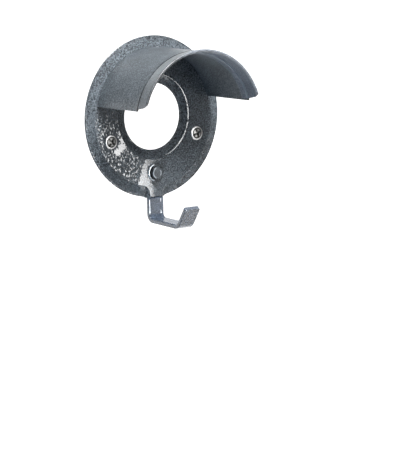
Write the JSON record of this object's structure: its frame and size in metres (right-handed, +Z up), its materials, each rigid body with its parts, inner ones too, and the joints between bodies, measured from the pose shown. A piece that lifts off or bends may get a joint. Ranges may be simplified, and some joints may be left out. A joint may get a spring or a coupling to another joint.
{
  "type": "bridle rack",
  "caption": "Wall bridle rack: a round pressed plate with an open centre, a half-round sheet cradle with a rolled front lip for the headpiece, and a riveted flat hook below.",
  "frame": {"origin": "on the wall plane, midway between the two wall screws", "axes": "+X to the right seen from the front, +Y into the wall along the screws, +Z up"},
  "size_m": [0.11, 0.0782, 0.1287],
  "materials": {
    "paint": "semi-gloss slate-grey hammered enamel",
    "zinc": "bright zinc plate"
  },
  "bodies": {
    "root": {"back_plate": "paint", "cradle": "paint", "front_lip": "paint", "hook": "paint", "hook_rivet": "paint", "rivet_washer": "paint", "wall_screw_left": "zinc", "wall_screw_right": "zinc"}
  },
  "joints": []
}
